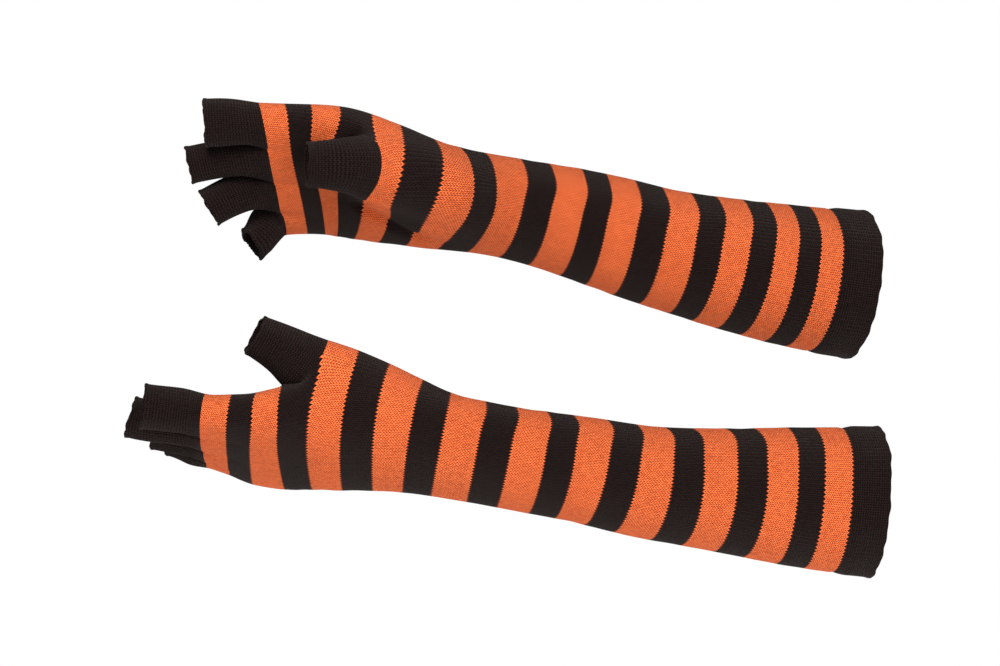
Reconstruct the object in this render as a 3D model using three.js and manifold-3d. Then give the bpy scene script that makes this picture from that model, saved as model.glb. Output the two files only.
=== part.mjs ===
// A pair of long striped knitted fingerless gloves, in the shape they hold on the arm.
// Millimetres, +Z up, fingers towards -X. The origin is the centre of the right glove's
// forearm opening. Each glove is a thin knitted wall: a ribbed elbow cuff, alternating
// orange and black bands, four finger tubes, and a thumb gusset with a thumb tube.

import * as THREE from 'three';
import { mergeVertices } from 'three/addons/utils/BufferGeometryUtils.js';
import Module from 'manifold-3d';

const wasm = await Module();
wasm.setup();

// ---- driving dimensions ----

const WALL = 1.6;          // thickness of the knitted wall
const GAP = 0.3;           // clearance between pieces that touch
// Bands from the finger roots to the elbow, orange and black in turn, then the elbow cuff.
const RIGHT_BANDS = [
  13, 12, 10.5, 14, 14.5, 17.5, 17.5, 17.5, 20.5, 17.5, 19,
  14.5, 16.5, 16, 17, 14.5, 15, 14, 13.5, 13, 12.5, 23.5,
];
const LEFT_BANDS = [
  13, 12, 13, 14.5, 17.5, 17.5, 18.5, 16.5, 18.5, 16, 16,
  14, 17.5, 16, 18, 16.5, 18.5, 16.5, 18.5, 15, 15, 20.5,
];
const ARM_SIDES = 18;      // facets around the arm and hand
const TUBE_SIDES = 14;     // facets around a finger or the thumb
const ROOT_CLEARANCE = 2.0; // room for a bent finger tube's root beside the knuckle band
const GUSSET_LENGTH = 12;  // rows between the hand and the thumb tube
const PATH_SAMPLES = 240;  // steps used to measure along a centre line

// Arm stations run from the finger roots to the elbow. Each gives a centre x, y, z, the half
// width across the hand, the half thickness, the roll of the thumb edge away from straight
// up (degrees, towards -Y), the squareness of the section (2 is an ellipse), and how far the
// thumb edge of the section leans towards the elbow.
const RIGHT_ARM = [
  [-317.6, -109.3, 58.4, 40.0, 13.3, 38, 2.7, -12.0],
  [-287.9, -100.0, 58.3, 38.3, 15.8, 37, 2.5, -11.5],
  [-263.4, -90.0, 52.8, 34.8, 18.4, 36, 2.3, -8.0],
  [-235.9, -77.0, 46.2, 29.7, 21.0, 33, 2.1, -2.0],
  [-200.0, -59.0, 41.6, 28.2, 21.0, 30, 2.0, -1.0],
  [-168.3, -47.0, 35.3, 29.6, 22.5, 25, 2.0, -2.5],
  [-138.9, -38.5, 27.5, 31.6, 25.5, 18, 2.0, -4.0],
  [-108.7, -30.0, 19.1, 33.0, 28.9, 8, 2.0, -2.5],
  [-77.8, -21.5, 12.4, 35.8, 32.3, 0, 2.0, 0.0],
  [-50.0, -13.5, 7.2, 38.3, 35.2, 0, 2.0, 0.0],
  [-24.4, -6.5, 3.1, 40.1, 37.6, 0, 2.0, 0.0],
  [0.0, 0.0, 0.0, 41.0, 38.5, 0, 2.0, 0.0],
];
const LEFT_ARM = [
  [-350.5, -116.0, -78.2, 38.0, 12.5, 68, 2.7, -1.5],
  [-338.0, -116.0, -80.0, 39.5, 13.5, 65, 2.6, -1.0],
  [-320.0, -116.0, -82.5, 41.5, 15.5, 60, 2.5, -0.5],
  [-290.0, -116.0, -81.0, 35.5, 19.0, 48, 2.2, 0.0],
  [-253.0, -116.0, -81.5, 31.0, 22.5, 38, 2.1, 0.0],
  [-220.9, -116.0, -86.8, 28.9, 21.9, 32, 2.0, 0.0],
  [-187.1, -114.5, -93.0, 27.8, 22.3, 25, 2.0, 0.0],
  [-155.4, -108.5, -98.3, 28.2, 23.8, 16, 2.0, 0.0],
  [-121.9, -100.0, -105.1, 29.7, 26.7, 8, 2.0, 0.0],
  [-89.2, -90.5, -109.1, 32.1, 29.7, 0, 2.0, 0.0],
  [-56.7, -82.0, -112.5, 35.6, 33.1, 0, 2.0, 0.0],
  [-26.5, -77.0, -115.2, 38.4, 36.0, 0, 2.0, 0.0],
  [1.2, -73.6, -117.2, 39.8, 37.8, 0, 2.0, 0.0],
];

// Thumb stations run from the mouth to inside the wrist: a centre x, y, z and a radius.
// The third one is the root of the gusset; behind it the ball of the thumb fills the bands.
const RIGHT_THUMB = [
  [-297.2, -139.0, 59.4, 11.6],
  [-283.2, -136.5, 59.4, 13.5],
  [-269.6, -126.5, 58.9, 16.6],
  [-249.2, -108.4, 55.9, 19.7],
  [-228.7, -89.0, 48.8, 20.5],
  [-209.3, -69.0, 43.7, 17.4],
];
const LEFT_THUMB = [
  [-325.0, -127.0, -28.0, 11.0],
  [-311.0, -124.0, -35.5, 13.4],
  [-297.0, -121.0, -45.0, 17.4],
  [-276.0, -118.0, -56.0, 20.5],
  [-253.0, -116.0, -68.0, 21.5],
  [-232.0, -114.0, -79.0, 18.0],
];
const GUSSET_STATION = 2;

// Bands are counted from the fingers, orange and black together. These are the ones that the
// ball of the thumb reaches.
const FIRST_THUMB_BAND = 2;
const LAST_THUMB_BAND = 7;
const SLAB_GROWTH = 45;    // how far a slicing slab reaches past the hand's skin

// Finger tubes: offset across the knuckles towards the thumb edge, the middle of the mouth,
// the radius of the mouth, and the direction that the mouth faces.
const FINGER_NAMES = ['index', 'middle', 'ring', 'little'];
const RIGHT_FINGERS = [
  { across: 30, mouth: [-350.3, -134.5, 81.2], radius: 12.7, heading: [-1, -0.1, -0.06] },
  { across: 10, mouth: [-359.8, -119, 60.6], radius: 9.8, heading: [-1, -0.06, -0.22] },
  { across: -10, mouth: [-350, -113, 38.6], radius: 10.3, heading: [-1, -0.12, -0.6] },
  { across: -30, mouth: [-328.4, -101, 20], radius: 9.6, heading: [-1, -0.3, -0.66] },
];
const LEFT_FINGERS = [
  { across: 28.4, mouth: [-380.5, -147, -64], radius: 11.8, heading: [-1, -0.115, 0.14] },
  { across: 9.5, mouth: [-389.5, -125, -70.3], radius: 10.9, heading: [-1, -0.05, 0.3] },
  { across: -9.5, mouth: [-379, -103, -78], radius: 10.2, heading: [-1, 0.05, 0.25] },
  { across: -28.4, mouth: [-373, -82, -83], radius: 9.3, heading: [-1, 0.15, 0.3] },
];
const ROOT_HALF_WIDTH = 8.8;  // half width of a finger tube where it leaves the hand

// ---- materials ----

const blackKnit = new THREE.MeshStandardMaterial({ color: 0x1e1a1a, roughness: 0.95, metalness: 0 });
const orangeKnit = new THREE.MeshStandardMaterial({ color: 0xec6c38, roughness: 0.92, metalness: 0 });

// ---- solids ----

// Turns a closed geometry into a manifold solid with its faces pointing out.
function toSolid(geometry) {
  const bare = geometry.index ? geometry.clone() : geometry;
  bare.deleteAttribute('normal');
  bare.deleteAttribute('uv');
  const merged = mergeVertices(bare, 1e-3);
  const indices = keepRealTriangles(merged.index.array);
  if (signedVolume(merged.attributes.position.array, indices) < 0) flipTriangles(indices);
  return new wasm.Manifold(new wasm.Mesh({
    numProp: 3,
    vertProperties: new Float32Array(merged.attributes.position.array),
    triVerts: new Uint32Array(indices),
  }));
}

function keepRealTriangles(indices) {
  const kept = [];
  for (let i = 0; i < indices.length; i += 3) {
    const [a, b, c] = [indices[i], indices[i + 1], indices[i + 2]];
    if (a !== b && b !== c && c !== a) kept.push(a, b, c);
  }
  return kept;
}

function flipTriangles(indices) {
  for (let i = 0; i < indices.length; i += 3) {
    [indices[i + 1], indices[i + 2]] = [indices[i + 2], indices[i + 1]];
  }
}

function signedVolume(positions, indices) {
  const [a, b, c] = [new THREE.Vector3(), new THREE.Vector3(), new THREE.Vector3()];
  let volume = 0;
  for (let i = 0; i < indices.length; i += 3) {
    a.fromArray(positions, indices[i] * 3);
    b.fromArray(positions, indices[i + 1] * 3);
    c.fromArray(positions, indices[i + 2] * 3);
    volume += a.dot(b.cross(c)) / 6;
  }
  return volume;
}

function toMesh(name, solid, material) {
  const { vertProperties, triVerts } = solid.getMesh();
  const geometry = new THREE.BufferGeometry();
  geometry.setAttribute('position', new THREE.BufferAttribute(vertProperties, 3));
  geometry.setIndex(new THREE.BufferAttribute(triVerts, 1));
  geometry.computeVertexNormals();
  const mesh = new THREE.Mesh(geometry, material);
  mesh.name = name;
  return mesh;
}

// ---- limbs: a smooth centre line with a changing section ----

// A limb answers, at a distance along its centre line, where the section is and its size.
function makeLimb(stations) {
  const curve = new THREE.CatmullRomCurve3(
    stations.map(([x, y, z]) => new THREE.Vector3(x, y, z)), false, 'centripetal');
  const steps = [0];
  let last = curve.getPoint(0);
  for (let i = 1; i <= PATH_SAMPLES; i += 1) {
    const next = curve.getPoint(i / PATH_SAMPLES);
    steps.push(steps[i - 1] + next.distanceTo(last));
    last = next;
  }
  return { stations, curve, steps, length: steps[PATH_SAMPLES] };
}

// Distance along the centre line to the curve's own parameter; it may run past both ends.
function parameterAt(limb, distance) {
  const { steps } = limb;
  let i = 1;
  while (i < PATH_SAMPLES && steps[i] < distance) i += 1;
  const share = (distance - steps[i - 1]) / (steps[i] - steps[i - 1]);
  return (i - 1 + share) / PATH_SAMPLES;
}

function distanceAtStation(limb, station) {
  return limb.steps[Math.round((station / (limb.stations.length - 1)) * PATH_SAMPLES)];
}

function stationValue(limb, parameter, column) {
  const last = limb.stations.length - 1;
  const place = THREE.MathUtils.clamp(parameter, 0, 1) * last;
  const i = Math.min(Math.floor(place), last - 1);
  return THREE.MathUtils.lerp(limb.stations[i][column], limb.stations[i + 1][column], place - i);
}

// Centre, direction and the two cross directions at a distance. "across" points to the
// thumb edge and "palm" out of the right palm (out of the back of the left hand).
function frameAt(limb, distance, rollDegrees) {
  const parameter = parameterAt(limb, distance);
  const inside = THREE.MathUtils.clamp(parameter, 0, 1);
  const along = limb.curve.getTangent(inside);
  const overshoot = distance - THREE.MathUtils.clamp(distance, 0, limb.length);
  const centre = limb.curve.getPoint(inside).addScaledVector(along, overshoot);
  const up = new THREE.Vector3(0, 0, 1);
  up.addScaledVector(along, -up.dot(along)).normalize();
  const side = new THREE.Vector3().crossVectors(along, up);
  const roll = THREE.MathUtils.degToRad(rollDegrees);
  const across = up.clone().multiplyScalar(Math.cos(roll)).addScaledVector(side, Math.sin(roll));
  const palm = side.multiplyScalar(Math.cos(roll)).addScaledVector(up, -Math.sin(roll));
  return { centre, along, across, palm };
}

function roundedPower(value, squareness) {
  return Math.sign(value) * Math.abs(value) ** (2 / squareness);
}

// A point of the arm's section at an angle, with the section grown by "grow".
function armPoint(arm, distance, angle, grow) {
  const parameter = parameterAt(arm, distance);
  const { centre, along, across, palm } = frameAt(arm, distance, stationValue(arm, parameter, 5));
  const squareness = stationValue(arm, parameter, 6);
  const lean = stationValue(arm, parameter, 7) / stationValue(arm, parameter, 3);
  across.addScaledVector(along, lean);
  const wide = stationValue(arm, parameter, 3) + grow;
  const thick = stationValue(arm, parameter, 4) + grow;
  return centre
    .addScaledVector(across, wide * roundedPower(Math.cos(angle), squareness))
    .addScaledVector(palm, thick * roundedPower(Math.sin(angle), squareness));
}

function thumbPoint(thumb, distance, angle, grow) {
  const { centre, across, palm } = frameAt(thumb, distance, 0);
  const radius = stationValue(thumb, parameterAt(thumb, distance), 3) + grow;
  return centre
    .addScaledVector(across, radius * Math.cos(angle))
    .addScaledVector(palm, radius * Math.sin(angle));
}

// Lathes a profile of (depth under the skin, distance along the limb) and bends it onto the
// limb. The lathe's radius carries the growth of the section, offset so that it is positive.
const SKIN_RADIUS = 1000;

function bendLathe(profile, sides, pointOn) {
  const outline = profile.map(([grow, distance]) => new THREE.Vector2(SKIN_RADIUS + grow, distance));
  const geometry = new THREE.LatheGeometry(outline, sides);
  bendVertices(geometry, (radius, distance, angle) => pointOn(distance, angle, radius - SKIN_RADIUS));
  return toSolid(geometry);
}

function bendVertices(geometry, place) {
  const { position } = geometry.attributes;
  for (let i = 0; i < position.count; i += 1) {
    const [x, y, z] = [position.getX(i), position.getY(i), position.getZ(i)];
    const point = place(Math.hypot(x, z), y, Math.atan2(x, z));
    position.setXYZ(i, point.x, point.y, point.z);
  }
}

// A hollow sleeve of wall between two distances.
function sleeve(from, to, rings, sides, pointOn) {
  const profile = [];
  for (let i = 0; i <= rings; i += 1) profile.push([0, from + ((to - from) * i) / rings]);
  for (let i = rings; i >= 0; i -= 1) profile.push([-WALL, from + ((to - from) * i) / rings]);
  profile.push(profile[0]);
  return bendLathe(profile, sides, pointOn);
}

// A filled core between two distances, its skin grown by "grow", with flat ends.
function core(from, to, grow, rings, sides, pointOn, centreOn) {
  const outline = [new THREE.Vector2(0, from)];
  for (let i = 0; i <= rings; i += 1) {
    outline.push(new THREE.Vector2(SKIN_RADIUS, from + ((to - from) * i) / rings));
  }
  outline.push(new THREE.Vector2(0, to));
  const geometry = new THREE.LatheGeometry(outline, sides);
  bendVertices(geometry, (radius, distance, angle) => (
    radius < SKIN_RADIUS / 2 ? centreOn(distance) : pointOn(distance, angle, grow)));
  return toSolid(geometry);
}

// ---- one glove ----

// Distances of the band edges from the finger roots.
function bandEdges(armLength, lengths) {
  const fit = armLength / lengths.reduce((sum, length) => sum + length, 0);
  const edges = [0];
  lengths.forEach((length) => edges.push(edges[edges.length - 1] + length * fit));
  return edges;
}

function bandName(side, index) {
  const colour = index % 2 === 0 ? 'orange' : 'black';
  return `${side}_${colour}_band_${Math.floor(index / 2) + 1}`;
}

// The bands around the ball of the thumb: the palm and the thumb's root joined, hollowed
// together so that the thumb can pass, and sliced at the band edges.
function thumbBands(glove, edges) {
  const { arm, thumb } = glove;
  const onArm = (distance, angle, grow) => armPoint(arm, distance, angle, grow);
  const onThumb = (distance, angle, grow) => thumbPoint(thumb, distance, angle, grow);
  const armCentre = (distance) => frameAt(arm, distance, 0).centre;
  const thumbCentre = (distance) => frameAt(thumb, distance, 0).centre;
  const root = distanceAtStation(thumb, GUSSET_STATION);
  const [from, to] = [edges[FIRST_THUMB_BAND], edges[LAST_THUMB_BAND + 1]];
  const palm = core(from, to, 0, 5, ARM_SIDES, onArm, armCentre);
  const hollow = core(from - 5, to + 5, -WALL, 5, ARM_SIDES, onArm, armCentre);
  const ball = core(root, thumb.length - 4, 0, 4, TUBE_SIDES, onThumb, thumbCentre);
  const ballHollow = core(-1, thumb.length - 6, -WALL, 6, TUBE_SIDES, onThumb, thumbCentre);
  const shell = palm.add(ball).subtract(hollow.add(ballHollow));
  const slices = new Map();
  for (let i = FIRST_THUMB_BAND; i <= LAST_THUMB_BAND; i += 1) {
    const slab = core(
      edges[i] + GAP / 2, edges[i + 1] - GAP / 2, SLAB_GROWTH, 1, ARM_SIDES, onArm, armCentre);
    slices.set(i, shell.intersect(slab));
  }
  return slices;
}

// The filled hand with a gap around it: what a tube's root is trimmed with.
function clearanceAroundHand(arm) {
  return core(-2 * GAP, arm.length / 2, 2 * GAP, 8, ARM_SIDES,
    (distance, angle, grow) => armPoint(arm, distance, angle, grow),
    (distance) => frameAt(arm, distance, 0).centre);
}

// The gusset and the tube of the thumb, trimmed so that they clear the hand by the gap.
function thumbPieces(glove) {
  const { arm, thumb } = glove;
  const onThumb = (distance, angle, grow) => thumbPoint(thumb, distance, angle, grow);
  const root = distanceAtStation(thumb, GUSSET_STATION) - GAP;
  const split = root - GUSSET_LENGTH;
  const hand = clearanceAroundHand(arm);
  return {
    gusset: sleeve(split + GAP, root, 2, TUBE_SIDES, onThumb).subtract(hand),
    tube: sleeve(0, split, 3, TUBE_SIDES, onThumb).subtract(hand),
  };
}

// A finger tube: a squarish root set in the row of knuckles that rounds out to its mouth.
function fingerTube(glove, finger) {
  const { arm } = glove;
  const hand = clearanceAroundHand(arm);
  const { centre, across, palm, along } = frameAt(arm, -ROOT_CLEARANCE, arm.stations[0][5]);
  const lean = arm.stations[0][7] / arm.stations[0][3];
  const root = centre.addScaledVector(across, finger.across)
    .addScaledVector(along, lean * finger.across);
  const mouth = new THREE.Vector3(...finger.mouth);
  const length = root.distanceTo(mouth);
  const last = new THREE.Vector3(...finger.heading).normalize();
  const curve = new THREE.CubicBezierCurve3(
    root, root.clone().addScaledVector(along, -length / 3),
    mouth.clone().addScaledVector(last, -length / 3), mouth);
  const rootThickness = arm.stations[0][4] - 0.4;
  const pointOn = (distance, angle, grow) => {
    const share = distance / length;
    const middle = curve.getPoint(share);
    const heading = curve.getTangent(share);
    const wideAxis = across.clone().addScaledVector(heading, -across.dot(heading)).normalize();
    const thickAxis = new THREE.Vector3().crossVectors(wideAxis, heading);
    const ease = Math.max(share, 0) ** 2;
    const wide = THREE.MathUtils.lerp(ROOT_HALF_WIDTH, finger.radius, ease) + grow;
    const thick = THREE.MathUtils.lerp(rootThickness, finger.radius, ease) + grow;
    const squareness = THREE.MathUtils.lerp(2.6, 2, ease);
    wideAxis.addScaledVector(along, lean * (1 - share) ** 2);
    return middle
      .addScaledVector(wideAxis, wide * roundedPower(Math.cos(angle), squareness))
      .addScaledVector(thickAxis, thick * roundedPower(Math.sin(angle), squareness));
  };
  return sleeve(0, length, 3, TUBE_SIDES, pointOn).subtract(hand);
}

function buildGlove(side, armStations, bands, thumbStations, fingers) {
  const glove = { arm: makeLimb(armStations), thumb: makeLimb(thumbStations) };
  const group = new THREE.Group();
  const edges = bandEdges(glove.arm.length, bands);
  const bandCount = bands.length - 1;
  const slices = thumbBands(glove, edges);
  const onArm = (distance, angle, grow) => armPoint(glove.arm, distance, angle, grow);
  for (let i = 0; i < bandCount; i += 1) {
    const solid = slices.get(i)
      ?? sleeve(edges[i] + GAP / 2, edges[i + 1] - GAP / 2, 1, ARM_SIDES, onArm);
    group.add(toMesh(bandName(side, i), solid, i % 2 === 0 ? orangeKnit : blackKnit));
  }
  const cuff = sleeve(edges[bandCount] + GAP / 2, edges[bandCount + 1], 1, ARM_SIDES, onArm);
  group.add(toMesh(`${side}_elbow_cuff`, cuff, blackKnit));
  const { gusset, tube } = thumbPieces(glove);
  group.add(toMesh(`${side}_thumb_gusset`, gusset, blackKnit));
  group.add(toMesh(`${side}_thumb_tube`, tube, blackKnit));
  fingers.forEach((finger, i) => {
    group.add(toMesh(`${side}_${FINGER_NAMES[i]}_tube`, fingerTube(glove, finger), blackKnit));
  });
  return group;
}

const gloves = new THREE.Group();
gloves.add(buildGlove('right', RIGHT_ARM, RIGHT_BANDS, RIGHT_THUMB, RIGHT_FINGERS));
gloves.add(buildGlove('left', LEFT_ARM, LEFT_BANDS, LEFT_THUMB, LEFT_FINGERS));

export default gloves;
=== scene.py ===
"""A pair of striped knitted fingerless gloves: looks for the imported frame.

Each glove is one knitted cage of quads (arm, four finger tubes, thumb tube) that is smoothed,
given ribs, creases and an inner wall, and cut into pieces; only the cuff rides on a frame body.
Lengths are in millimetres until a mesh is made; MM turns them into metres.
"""
import math

import bpy
import numpy as np
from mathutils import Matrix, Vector


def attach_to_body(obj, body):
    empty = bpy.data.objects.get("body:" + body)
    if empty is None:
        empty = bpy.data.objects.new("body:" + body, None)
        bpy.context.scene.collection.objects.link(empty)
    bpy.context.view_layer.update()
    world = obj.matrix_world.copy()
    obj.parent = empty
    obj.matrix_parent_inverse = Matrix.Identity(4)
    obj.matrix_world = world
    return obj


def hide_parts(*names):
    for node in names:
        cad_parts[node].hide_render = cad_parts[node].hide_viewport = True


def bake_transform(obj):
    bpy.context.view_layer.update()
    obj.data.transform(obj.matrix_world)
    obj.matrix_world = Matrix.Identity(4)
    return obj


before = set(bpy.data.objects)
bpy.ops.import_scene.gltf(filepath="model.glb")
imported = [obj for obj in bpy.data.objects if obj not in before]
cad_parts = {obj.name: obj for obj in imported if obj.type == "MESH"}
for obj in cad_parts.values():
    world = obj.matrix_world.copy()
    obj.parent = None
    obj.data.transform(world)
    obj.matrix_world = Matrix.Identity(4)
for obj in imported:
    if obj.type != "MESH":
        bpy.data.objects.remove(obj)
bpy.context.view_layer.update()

MM = 0.001

# ---- the sizes and places that the part has too ----

# Bands from the finger roots to the elbow, orange and black in turn, then the elbow cuff.
RIGHT_BANDS = [13, 12, 10.5, 14, 14.5, 17.5, 17.5, 17.5, 20.5, 17.5, 19, 14.5, 16.5, 16, 17,
               14.5, 15, 14, 13.5, 13, 12.5, 23.5]
LEFT_BANDS = [13, 12, 13, 14.5, 17.5, 17.5, 18.5, 16.5, 18.5, 16, 16, 14, 17.5, 16, 18, 16.5,
              18.5, 16.5, 18.5, 15, 15, 20.5]

# Centre x, y, z, half width, half thickness, roll in degrees and squareness of the section,
# and how far the section's thumb edge leans towards the elbow.
WIDE, THICK, ROLL, SQUARE, LEAN = range(3, 8)
RIGHT_ARM = [
    [-317.6, -109.3, 58.4, 40.0, 13.3, 38, 2.7, -12.0],
    [-287.9, -100.0, 58.3, 38.3, 15.8, 37, 2.5, -11.5],
    [-263.4, -90.0, 52.8, 34.8, 18.4, 36, 2.3, -8.0],
    [-235.9, -77.0, 46.2, 29.7, 21.0, 33, 2.1, -2.0],
    [-200.0, -59.0, 41.6, 28.2, 21.0, 30, 2.0, -1.0],
    [-168.3, -47.0, 35.3, 29.6, 22.5, 25, 2.0, -2.5],
    [-138.9, -38.5, 27.5, 31.6, 25.5, 18, 2.0, -4.0],
    [-108.7, -30.0, 19.1, 33.0, 28.9, 8, 2.0, -2.5],
    [-77.8, -21.5, 12.4, 35.8, 32.3, 0, 2.0, 0.0],
    [-50.0, -13.5, 7.2, 38.3, 35.2, 0, 2.0, 0.0],
    [-24.4, -6.5, 3.1, 40.1, 37.6, 0, 2.0, 0.0],
    [0.0, 0.0, 0.0, 41.0, 38.5, 0, 2.0, 0.0],
]
LEFT_ARM = [
    [-350.5, -116.0, -78.2, 38.0, 12.5, 68, 2.7, -1.5],
    [-338.0, -116.0, -80.0, 39.5, 13.5, 65, 2.6, -1.0],
    [-320.0, -116.0, -82.5, 41.5, 15.5, 60, 2.5, -0.5],
    [-290.0, -116.0, -81.0, 35.5, 19.0, 48, 2.2, 0.0],
    [-253.0, -116.0, -81.5, 31.0, 22.5, 38, 2.1, 0.0],
    [-220.9, -116.0, -86.8, 28.9, 21.9, 32, 2.0, 0.0],
    [-187.1, -114.5, -93.0, 27.8, 22.3, 25, 2.0, 0.0],
    [-155.4, -108.5, -98.3, 28.2, 23.8, 16, 2.0, 0.0],
    [-121.9, -100.0, -105.1, 29.7, 26.7, 8, 2.0, 0.0],
    [-89.2, -90.5, -109.1, 32.1, 29.7, 0, 2.0, 0.0],
    [-56.7, -82.0, -112.5, 35.6, 33.1, 0, 2.0, 0.0],
    [-26.5, -77.0, -115.2, 38.4, 36.0, 0, 2.0, 0.0],
    [1.2, -73.6, -117.2, 39.8, 37.8, 0, 2.0, 0.0],
]
# Centre and radius, from the thumb's mouth to inside the wrist.
RADIUS = 3
RIGHT_THUMB = [
    [-297.2, -139.0, 59.4, 11.6],
    [-283.2, -136.5, 59.4, 13.5],
    [-269.6, -126.5, 58.9, 16.6],
    [-249.2, -108.4, 55.9, 19.7],
    [-228.7, -89.0, 48.8, 20.5],
    [-209.3, -69.0, 43.7, 17.4],
]
LEFT_THUMB = [
    [-325.0, -127.0, -28.0, 11.0],
    [-311.0, -124.0, -35.5, 13.4],
    [-297.0, -121.0, -45.0, 17.4],
    [-276.0, -118.0, -56.0, 20.5],
    [-253.0, -116.0, -68.0, 21.5],
    [-232.0, -114.0, -79.0, 18.0],
]
THUMB_STATIONS = len(RIGHT_THUMB)
GUSSET_STATION = 2         # the thumb station where the tube leaves the hand
FINGER_NAMES = ["index", "middle", "ring", "little"]
# Offset across the knuckles, middle of the mouth, radius of the mouth, and its heading.
RIGHT_FINGERS = [
    (30.0, (-350.3, -134.5, 81.2), 12.7, (-1, -0.1, -0.06)),
    (10.0, (-359.8, -119.0, 60.6), 9.8, (-1, -0.06, -0.22)),
    (-10.0, (-350.0, -113.0, 38.6), 10.3, (-1, -0.12, -0.6)),
    (-30.0, (-328.4, -101.0, 20.0), 9.6, (-1, -0.3, -0.66)),
]
LEFT_FINGERS = [
    (28.4, (-380.5, -147.0, -64.0), 11.8, (-1, -0.115, 0.14)),
    (9.5, (-389.5, -125.0, -70.3), 10.9, (-1, -0.05, 0.3)),
    (-9.5, (-379.0, -103.0, -78.0), 10.2, (-1, 0.05, 0.25)),
    (-28.4, (-373.0, -82.0, -83.0), 9.3, (-1, 0.15, 0.3)),
]

# ---- the cloth's own shape ----

WALL = 1.3                 # thickness of the wall without its relief
# x and z along the fold below the right thumb, where the ball of the thumb hangs over the palm.
RIGHT_CREASE = [
    (-278.0, 45.0),
    (-266.5, 38.0),
    (-256.2, 32.3),
    (-243.2, 25.5),
    (-231.0, 22.5),
    (-218.8, 21.2),
]
CREASE_ROLL = 1.6          # height of the roll above the fold
CREASE_GROOVE = 3.2        # depth of the groove below the roll
VALLEY_DEPTH = 0.9         # how far the knit sinks between two knuckles

# ---- the knit ----

ORANGE_ROWS = 12           # courses in an orange band
BLACK_ROWS = 11            # courses in a black band
REPEAT_ROWS = ORANGE_ROWS + BLACK_ROWS
CUFF_ROWS = 16
ARM_WALES = 96             # stitch columns round the arm
TUBE_WALES = [36, 36, 34, 30]
THUMB_WALES = 38
TUBE_ROW = 1.45            # height of one course in a tube

# ---- the cage ----

AROUND = 48                # cage columns round the arm
RINGS_PER_BAND = 3
WEB_RINGS = 2              # extra rings of the thumb's band, between the web and the hole
CROTCHES = [6, 12, 18]     # cage columns of the crotches on the palm side
WEB_POINTS = 3             # cage points across a web, from palm to back
WEB_REACH = 4.5            # how far the webs lie beyond the last band
THUMB_HOLE_FIRST = 2       # first cage column of the thumb hole on the palm side
THUMB_HOLE_COLUMNS = 6
KNUCKLE_REACH = (8, 60)    # where the columns' shift at the knuckles starts and stops to fade
TUBE_HALF_WIDTH = 9.1      # of a finger tube at its knuckle
TUBE_SLACK = 0.4           # how much thinner a tube starts than the hand
FINGER_SHARES = [0.26, 0.42, 0.57, 0.72, 0.86, 1.0]    # places of the rings along a finger
THUMB_SHARES = [0.14, 0.3, 0.48, 0.66, 0.84, 1.0]      # and along the thumb
FIRST_RING_EASE = 0.6      # how far a finger's first ring is drawn towards a straight run
THUMB_PULL = (35, 75)      # distances from the thumb's base where its pull on the hand fades
HAND_LENGTH = 150          # the part of the arm, from the knuckles, that the thumb may pull
SLIDE = 1.1                # how far a lifted point slides back, for each unit that it rose
SLIDE_FADE = (2, 16)       # distances from the thumb's opening where that starts and is full
THUMB_BAND = 3             # the band, counted from the fingers, that the thumb hole opens in
SMOOTH_LEVELS = 2
NO_MOUTH = 1e6             # stands for the open end's row in a piece that has none


def catmull_rom(stations, samples):
    """Points on the smooth curve through the stations; every column is smoothed alike."""
    table = np.array(stations, float)
    padded = np.vstack([2 * table[0] - table[1], table, 2 * table[-1] - table[-2]])
    place = np.linspace(0, len(table) - 1, samples)
    i = np.minimum(place.astype(int), len(table) - 2)
    t = (place - i)[:, None]
    a, b, c, d = (padded[i + k] for k in range(4))
    return 0.5 * (2 * b + (c - a) * t + (2 * a - 5 * b + 4 * c - d) * t ** 2
                  + (3 * b - a - 3 * c + d) * t ** 3)


def unit(v):
    """The vectors at length 1; a zero vector stays zero."""
    return v / np.maximum(np.linalg.norm(v, axis=-1, keepdims=True), 1e-12)


def rounded_power(value, squareness):
    """A sine or cosine pushed outwards; 2 leaves an ellipse as it is."""
    return np.sign(value) * np.abs(value) ** (2 / squareness)


class Limb:
    """A centre line with a changing section, measured by the distance along it."""

    def __init__(self, stations, samples=600):
        self.table = catmull_rom(stations, samples)
        steps = np.linalg.norm(np.diff(self.table[:, :3], axis=0), axis=1)
        self.distance = np.concatenate([[0], np.cumsum(steps)])
        self.length = self.distance[-1]
        self.tangent = unit(np.gradient(self.table[:, :3], self.distance, axis=0))

    def station_distance(self, index, count):
        return np.interp(index / (count - 1), np.linspace(0, 1, len(self.distance)), self.distance)

    def column(self, distance, column):
        return np.interp(distance, self.distance, self.table[:, column])

    def centre(self, distance):
        distance = np.asarray(distance, float)
        inside = np.clip(distance, 0, self.length)
        middle = np.stack([self.column(inside, k) for k in range(3)], axis=-1)
        return middle + self.along(distance) * (distance - inside)[..., None]

    def along(self, distance):
        inside = np.clip(distance, 0, self.length)
        return unit(np.stack(
            [np.interp(inside, self.distance, self.tangent[:, k]) for k in range(3)], axis=-1))

    def cross_axes(self, distance, roll_degrees):
        """Directions to the thumb edge and out of the palm (out of the back on the left)."""
        along = self.along(distance)
        up = np.array([0.0, 0.0, 1.0]) - along * along[..., 2:3]
        up = unit(up)
        side = np.cross(along, up)
        roll = np.radians(roll_degrees)[..., None]
        across = up * np.cos(roll) + side * np.sin(roll)
        palm = side * np.cos(roll) - up * np.sin(roll)
        return across, palm


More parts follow.
